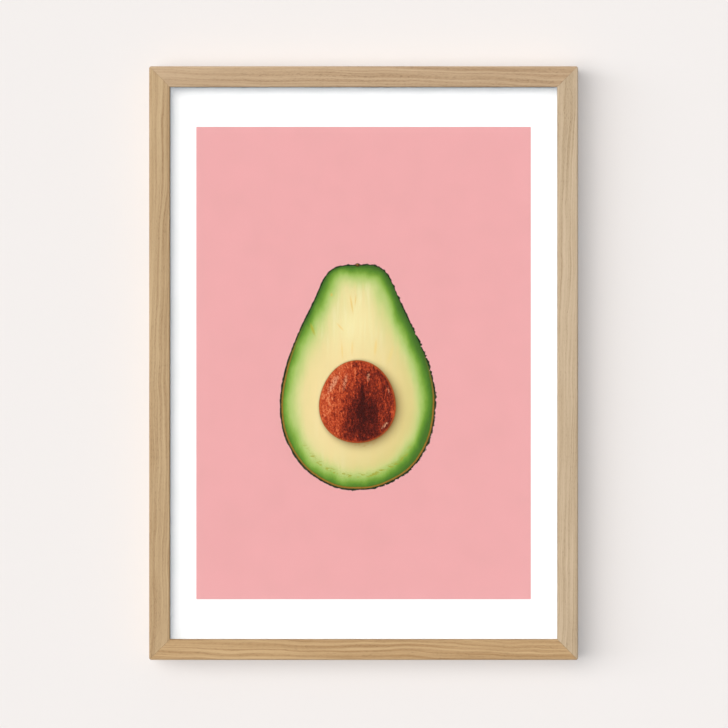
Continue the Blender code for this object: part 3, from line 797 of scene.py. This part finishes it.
zinc = plated("zinc_plate", ink(196, 198, 202), ink(158, 160, 166))
first_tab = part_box("tab_left_1")
tab_y = (first_tab[0].y + first_tab[1].y) / 2
spots = []
for step in (1, 0, -1):
    z = MIDDLE_Z + step * SIDE_TAB_PITCH
    spots.append(((-REBATE_HALF_WIDTH, tab_y, z), (0, 0, 0)))
    spots.append(((REBATE_HALF_WIDTH, tab_y, z), (0, math.pi, 0)))
for step in (-0.5, 0.5):
    x = step * END_TAB_PITCH
    spots.append(((x, tab_y, MIDDLE_Z + REBATE_HALF_HEIGHT), (0, math.pi / 2, 0)))
    spots.append(((x, tab_y, MIDDLE_Z - REBATE_HALF_HEIGHT), (0, -math.pi / 2, 0)))
tabs = copies(
    strip,
    "board_tabs",
    bowed(TAB_REACH),
    zinc,
    spots,
    width=TAB_WIDTH,
    thickness=TAB_THICKNESS,
    edge_radius=TAB_EDGE,
    start_corner=0.0,
    end_corner=TAB_CORNER,
    across=(0, 0, 1),
)
TABS = [f"tab_{side}_{k}" for side in ("left", "right") for k in (1, 2, 3)]
TABS += [f"tab_{side}_{k}" for side in ("top", "bottom") for k in (1, 2)]
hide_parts(*TABS)
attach(tabs, "frame")

# --- Corner V-nails ---
# Four V-shaped strips of hardened steel, pressed into the back of the glued mitres with one leg
# in each rail, which pulls the joint tight. They finish level with the wood.

NAIL_LEG, NAIL_THICKNESS, NAIL_SETBACK, NAIL_BEND = 0.005, 0.0005, 0.0034, 0.0006
NAIL_EDGE, NAIL_PROUD = 0.0001, 0.00004
nail_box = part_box("v_nail_top_left")
nail_depth = BACK_Y - nail_box[0].y
bend = [(1 - math.sin(k * math.pi / 12), 1 - math.cos(k * math.pi / 12)) for k in range(7)]
vee = [(NAIL_LEG, 0, 0)] + [(NAIL_BEND * u, 0, -NAIL_BEND * v) for u, v in bend]
vee.append((0, 0, -NAIL_LEG))
nail_x, nail_z = HALF_WIDTH - NAIL_SETBACK, HALF_HEIGHT - NAIL_SETBACK
nail_y = BACK_Y - nail_depth / 2 + NAIL_PROUD
nails = copies(
    strip,
    "corner_v_nails",
    vee,
    plated("bright_steel", ink(176, 176, 178), ink(126, 124, 122)),
    [
        ((side * nail_x, nail_y, MIDDLE_Z + end * nail_z), (0, quarter * math.pi / 2, 0))
        for side, end, quarter in ((-1, 1, 0), (1, 1, 1), (1, -1, 2), (-1, -1, -1))
    ],
    width=nail_depth,
    thickness=NAIL_THICKNESS,
    edge_radius=NAIL_EDGE,
    start_corner=0.0,
    end_corner=0.0,
    across=(0, 1, 0),
)
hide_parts(*(f"v_nail_{end}_{side}" for end in ("top", "bottom") for side in ("left", "right")))
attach(nails, "frame")

# --- Hanger straps ---
# Two strips of nickel plated steel, each folded double round the bar of its D-ring. They lie flat
# on the back of the uprights, and one screw through both layers holds each of them.

STRAP_WIDTH, STRAP_THICKNESS, STRAP_EDGE = 0.0062, 0.0008, 0.00018
LAYER_GAP, STEP_START, STEP_END = 0.0001, 0.0012, 0.0036
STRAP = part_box("hanger_strap_right")
strap_x = (STRAP[0].x + STRAP[1].x) / 2
WIRE_RADIUS, RUN_GAP = 0.0009, 0.0003
eye_radius = WIRE_RADIUS + RUN_GAP + STRAP_THICKNESS / 2
PIVOT_Z = STRAP[1].z - eye_radius - STRAP_THICKNESS / 2
PIVOT_Y = STRAP[0].y + eye_radius + STRAP_THICKNESS / 2
strap_length = PIVOT_Z - STRAP[0].z


def folded_line(fold_steps=28, step_steps=14, end_steps=8):
    """The strap's middle line in section, from the pivot, as (0, y, z)."""
    lower = -eye_radius
    upper = lower + STRAP_THICKNESS + LAYER_GAP
    half = STRAP_WIDTH / 2
    rounds = [half * (1 - math.cos(k * math.pi / 2 / end_steps)) for k in range(end_steps + 1)]
    line = [(0, lower, -strap_length + rise) for rise in rounds]
    for k in range(fold_steps + 1):
        angle = math.pi * (1 - k / fold_steps)
        line.append((0, eye_radius * math.cos(angle), eye_radius * math.sin(angle)))
    for k in range(step_steps + 1):
        share = k / step_steps
        drop = share * share * (3 - 2 * share)
        fall = STEP_START + (STEP_END - STEP_START) * share
        line.append((0, eye_radius + (upper - eye_radius) * drop, -fall))
    return line + [(0, upper, -strap_length + rise) for rise in reversed(rounds)]


nickel = plated("nickel_plate", ink(214, 208, 198), ink(186, 178, 166))
strap_corner = STRAP_WIDTH / 2 * 0.98  # a nearly half round end
straps = copies(
    strip,
    "hanger_straps",
    folded_line(),
    nickel,
    [((side * strap_x, PIVOT_Y, PIVOT_Z), (0, 0, 0)) for side in (-1, 1)],
    width=STRAP_WIDTH,
    thickness=STRAP_THICKNESS,
    edge_radius=STRAP_EDGE,
    start_corner=strap_corner,
    end_corner=strap_corner,
    across=(1, 0, 0),
)
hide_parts("hanger_strap_left", "hanger_strap_right")
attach(straps, "frame")

# --- D-rings ---
# Two rings of nickel plated wire, bent to a D. The straight bar turns in the strap's eye, and
# the bow hangs over the strap or goes over a wall hook.

RING_ARM, RING_LEAN, SIDE_GAP = 0.0065, math.radians(6), 0.0003
ring_half = STRAP_WIDTH / 2 + SIDE_GAP + WIRE_RADIUS
ring_corner = WIRE_RADIUS + RUN_GAP

ring = Shape("bent_wire", float="Wire radius", int="Sides")
given = ring.inputs
section = {"Resolution": given["Sides"], "Radius": given["Wire radius"]}
section = ring.add("GeometryNodeCurvePrimitiveCircle", section, mode="RADIUS")
ring.finish(ring.add("GeometryNodeCurveToMesh", given["Geometry"], section))


def d_line(side, corner_steps=9, bow_steps=44):
    """The ring's middle line, hung from the pivot on that side."""
    flat = []
    for way, start in ((-1, math.pi), (1, 1.5 * math.pi)):
        for k in range(corner_steps + 1):
            angle = start + math.pi / 2 * k / corner_steps
            x = way * (ring_half - ring_corner) + ring_corner * math.cos(angle)
            flat.append((x, ring_corner + ring_corner * math.sin(angle)))
    for k in range(bow_steps + 1):
        angle = math.pi * k / bow_steps
        flat.append((ring_half * math.cos(angle), RING_ARM + ring_half * math.sin(angle)))
    lean, drop = math.sin(RING_LEAN), math.cos(RING_LEAN)
    return [(side * strap_x + x, PIVOT_Y + reach * lean, PIVOT_Z - reach * drop) for x, reach in flat]


for side, word in ((-1, "left"), (1, "right")):
    wire = ring.build(
        f"d_ring_wire_{word}",
        d_line(side),
        nickel,
        closed=True,
        wire_radius=WIRE_RADIUS,
        sides=20,
    )
    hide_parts(f"d_ring_{word}")
    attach(wire, f"{word}_ring")

# --- Hanger screws ---
# Two zinc plated pan head wood screws with a cross recess, driven through the straps into the
# uprights. The shank tapers to a point inside the wood.

HEAD_RADIUS, HEAD_HEIGHT, SHANK_RADIUS = 0.0028, 0.0018, 0.0013
SCREW_LENGTH, SCREW_POINT = 0.013, 0.003
CROSS_REACH, CROSS_WIDTH, CROSS_DEPTH = 0.0031, 0.0006, 0.0011
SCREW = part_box("hanger_screw_right")
head_y = SCREW[1].y - HEAD_HEIGHT
screw_z = (SCREW[0].z + SCREW[1].z) / 2


def revolved(shape, profile, sides):
    """The base curve's points, as (radius, height), turned about Z into a closed mesh."""
    size = shape.add("GeometryNodeAttributeDomainSize", profile, component="CURVE")
    count = size.outputs["Point Count"]
    net = shape.add("GeometryNodeMeshGrid", 1.0, 1.0, shape.plus(sides, 1.0), count)
    number = shape.add("GeometryNodeInputIndex")
    angle = shape.math("FLOOR", shape.math("DIVIDE", number, count))
    angle = shape.times(shape.math("DIVIDE", angle, sides), 2 * math.pi)
    point = shape.add(
        "GeometryNodeSampleIndex",
        profile,
        {"Value": shape.add("GeometryNodeInputPosition"), "Index": shape.math("MODULO", number, count)},
        data_type="FLOAT_VECTOR",
    )
    radius, height, _ = shape.split(point)
    x = shape.times(radius, shape.math("COSINE", angle))
    y = shape.times(radius, shape.math("SINE", angle))
    spot = shape.joined(x, y, height)
    solid = shape.add("GeometryNodeSetPosition", net.outputs["Mesh"], {"Position": spot})
    return shape.add("GeometryNodeMergeByDistance", solid, {"Distance": 1e-6})


driver = Shape(
    "cross_head_screws",
    object="Places",
    int="Sides",
    float="Head height, Cross reach, Cross width, Cross depth",
)
given = driver.inputs
solid = driver.add("GeometryNodeFlipFaces", revolved(driver, given["Geometry"], given["Sides"]))
deep = driver.times(given["Cross depth"], 2.0)
top = driver.joined(0.0, 0.0, given["Head height"])
for size in (
    (given["Cross reach"], given["Cross width"], deep),
    (given["Cross width"], given["Cross reach"], deep),
):
    bar = driver.add("GeometryNodeMeshCube", driver.joined(*size))
    bar = driver.add("GeometryNodeTransform", bar.outputs["Mesh"], {"Translation": top})
    solid = driver.add(
        "GeometryNodeMeshBoolean", solid, bar, operation="DIFFERENCE", solver="EXACT"
    )
driver.finish(set_out(driver, solid))

# the head's outline, as shares of its radius and its height
dome = [(0.0, 1.0), (0.30, 0.985), (0.55, 0.93), (0.74, 0.81), (0.88, 0.62), (0.965, 0.4), (1.0, 0.22)]
head = [(HEAD_RADIUS * r, HEAD_HEIGHT * h) for r, h in dome] + [(HEAD_RADIUS, 0.0)]
shank = [(SHANK_RADIUS, 0.0), (SHANK_RADIUS, SCREW_POINT - SCREW_LENGTH), (0.0, -SCREW_LENGTH)]
screws = copies(
    driver,
    "hanger_screws",
    head + shank,
    zinc,
    [
        ((side * strap_x, head_y, screw_z), (-math.pi / 2, turn, 0))
        for side, turn in ((-1, 0.5), (1, -0.3))
    ],
    sides=48,
    head_height=HEAD_HEIGHT,
    cross_reach=CROSS_REACH,
    cross_width=CROSS_WIDTH,
    cross_depth=CROSS_DEPTH,
)
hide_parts("hanger_screw_left", "hanger_screw_right")
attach(screws, "frame")

# --- Wall bumpers ---
# Two stick-on dots of dark rubber at the bottom corners. They keep the frame parallel to the
# wall, which the rings hold it away from at the top, and they save the paint.

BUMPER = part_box("wall_bumper_right")
BUMPER_ROUND, BUMPER_ARRIS, BUMPER_STEPS = 0.0014, 0.0002, 10
bumper_radius = (BUMPER[1].x - BUMPER[0].x) / 2
bumper_height = BUMPER[1].y - BUMPER[0].y
bumper_x, bumper_z = (BUMPER[0].x + BUMPER[1].x) / 2, (BUMPER[0].z + BUMPER[1].z) / 2
foot = Shape("rubber_dots", object="Places", int="Sides")
foot.finish(set_out(foot, revolved(foot, foot.inputs["Geometry"], foot.inputs["Sides"])))
outline = [(0.0, bumper_height)]
for k in range(BUMPER_STEPS + 1):
    angle = math.pi / 2 * (1 - k / BUMPER_STEPS)
    radius = bumper_radius - BUMPER_ROUND * (1 - math.cos(angle))
    outline.append((radius, bumper_height - BUMPER_ROUND * (1 - math.sin(angle))))
outline += [(bumper_radius, BUMPER_ARRIS), (bumper_radius - BUMPER_ARRIS, 0.0), (0.0, 0.0)]
look = Look("soft_rubber", Roughness=0.75, Specular_IOR_Level=0.35)
bloom = look.noise(look.place, 420.0, 4, 0.6)
pits = look.noise(look.place, 5200.0, 2, 0.6)
colour = look.mix(look.fade(bloom, 0.4, 0.75), ink(52, 52, 54), ink(84, 82, 80))
rubber = look.finish(colour, look.linear(bloom, 0.3, 0.55), pits, 0.00003)
bumpers = copies(
    foot,
    "wall_bumpers",
    outline,
    rubber,
    [((side * bumper_x, BUMPER[0].y, bumper_z), (-math.pi / 2, 0, 0)) for side in (-1, 1)],
    sides=64,
)
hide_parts("wall_bumper_left", "wall_bumper_right")
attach(bumpers, "frame")

# --- Wall, light and camera ---
# A pale plastered wall and floor, broad soft light from the left, and a long lens square on to
# the picture.

scene = bpy.context.scene
scene.view_settings.view_transform = "Standard"


def slab(name, corners, look):
    mesh = bpy.data.meshes.new(name)
    mesh.from_pydata(corners, [], [(0, 1, 2, 3)])
    mesh.materials.append(look)
    obj = new_object(name, mesh)
    return obj


def plaster(name, colour, glow=0.0):
    glows = {"Emission_Color": colour, "Emission_Strength": glow}
    look = Look(name, Roughness=0.9, Specular_IOR_Level=0.1, **glows)
    mottle = look.noise(look.place, 6.0, 3)
    tone = look.mix(look.times(mottle, 0.06), colour, ink(205, 200, 196))
    grit = look.noise(look.place, 900.0, 3)
    material = look.finish(tone, None, grit, 0.00002)
    facing = look.add("ShaderNodeNewGeometry").outputs["Backfacing"]
    clear = look.add("ShaderNodeBsdfTransparent")
    both = look.add("ShaderNodeMixShader", facing, look.shader, clear)
    look.set(look.tree.nodes["Material Output"].inputs["Surface"], both)
    return material


WALL_SIZE, FLOOR_DROP, WALL_GAP, FLOOR_GLOW = 6.0, 1.35, 0.0002, 0.42


def corners_from(low):
    """A slab's corners, from -WALL_SIZE and low up to WALL_SIZE."""
    return [(-WALL_SIZE, low), (WALL_SIZE, low), (WALL_SIZE, WALL_SIZE), (-WALL_SIZE, WALL_SIZE)]


wall = slab(
    "wall",
    [(x, WALL_GAP, z) for x, z in corners_from(-FLOOR_DROP)],
    plaster("pale_plaster", ink(221, 217, 215)),
)
floor = slab(
    "floor",
    [(x, y, -FLOOR_DROP) for x, y in corners_from(-WALL_SIZE)],
    plaster("pale_floor", ink(228, 225, 222), FLOOR_GLOW),
)
floor.visible_diffuse = False
for surface in (wall, floor):
    surface.visible_shadow = False
    surface.visible_glossy = False
    surface.visible_transmission = False


def sun(name, left, up, strength, angle, colour=(1, 1, 1)):
    """A soft far light that shines from left and up of the picture's front, in degrees."""
    data = bpy.data.lights.new(name, "SUN")
    data.energy = strength
    data.color = colour
    data.angle = math.radians(angle)
    obj = new_object(name, data)
    left, up = math.radians(left), math.radians(up)
    towards = Vector((-math.sin(left), -math.cos(left), 0)) * math.cos(up)
    towards.z = math.sin(up)
    obj.rotation_euler = towards.to_track_quat("Z", "Y").to_euler()
    # the pane would otherwise show these wide discs, and light the sheet with them twice
    data.cycles.use_multiple_importance_sampling = False
    obj.visible_glossy = False
    obj.visible_transmission = False
    return obj


def only(light, obj, state):
    """Has light shine on obj alone, where state is INCLUDE, or on all but obj, for EXCLUDE."""
    chosen = bpy.data.collections.new(light.name + "_on")
    chosen.objects.link(obj)
    chosen.collection_objects[0].light_linking.link_state = state
    light.light_linking.receiver_collection = chosen


# the fill is a little cool and the key a little warm: white together, and cool in the shadows
sun("front_fill", 2, 1, 1.25, 4, (0.94, 1.0, 1.06))
only(sun("broad_key", 27, 5, 2.03, 52, (1.047, 1.0, 0.953)), sheet, "EXCLUDE")
only(sun("sheet_key", 27, 27, 2.28, 52, (1.047, 1.0, 0.953)), sheet, "INCLUDE")
sun("far_side", 62, 6, 0.76, 30, (0.97, 1.0, 1.03))
sun("back_light", 205, 30, 1.6, 60)
sun("overhead", 0, 88, 0.3, 12)

# what the metal and the glass mirror: a grey room with broad soft panels overhead and beside it
sky = bpy.data.worlds.new("studio")
scene.world = sky
sky.use_nodes = True
sky.cycles.sampling_method = "NONE"
room = Tree(sky.node_tree)
rays = room.add("ShaderNodeLightPath").outputs
way = room.add("ShaderNodeTexCoord").outputs["Generated"]
x, y, z = room.split(way)
overhead = room.add("ShaderNodeMapRange", z, 0.35, 0.75, 0.3, 1.7)
beside = room.add("ShaderNodeMapRange", room.math("ABSOLUTE", x), 0.6, 0.9, 0.0, 0.9)
behind = room.add("ShaderNodeMapRange", y, 0.2, 0.9, 0.0, 0.35)
in_front = room.add("ShaderNodeMapRange", y, -0.97, -0.6, 0.06, 1.0)
shine = room.times(room.plus(room.plus(overhead, beside), behind), in_front)
dim = room.add("ShaderNodeBackground", (0.9, 0.9, 0.9, 1), 0.2)
panels = room.add("ShaderNodeBackground", (0.97, 0.98, 1.0, 1), shine)
backdrop = room.add("ShaderNodeBackground", ink(246, 242, 239), 1.0)
mirrored = room.minus(rays["Is Glossy Ray"], rays["Is Transmission Ray"])
seen = room.add("ShaderNodeMixShader", mirrored, dim, panels)
seen = room.add("ShaderNodeMixShader", rays["Is Camera Ray"], seen, backdrop)
room.set(sky.node_tree.nodes["World Output"].inputs["Surface"], seen)

LENS, VIEW_WIDTH = 250.0, 0.5430
VIEW_X, VIEW_Z = 0.0003, MIDDLE_Z - 0.0007  # a hair off the middle of the frame
lens = bpy.data.cameras.new("camera")
lens.lens = LENS
lens.sensor_width = 36.0
lens.clip_start = 0.01
camera = new_object("camera", lens)
distance = VIEW_WIDTH * LENS / lens.sensor_width
camera.location = (VIEW_X, FRONT_Y - distance, VIEW_Z)
camera.rotation_euler = (math.pi / 2, 0, 0)
scene.camera = camera
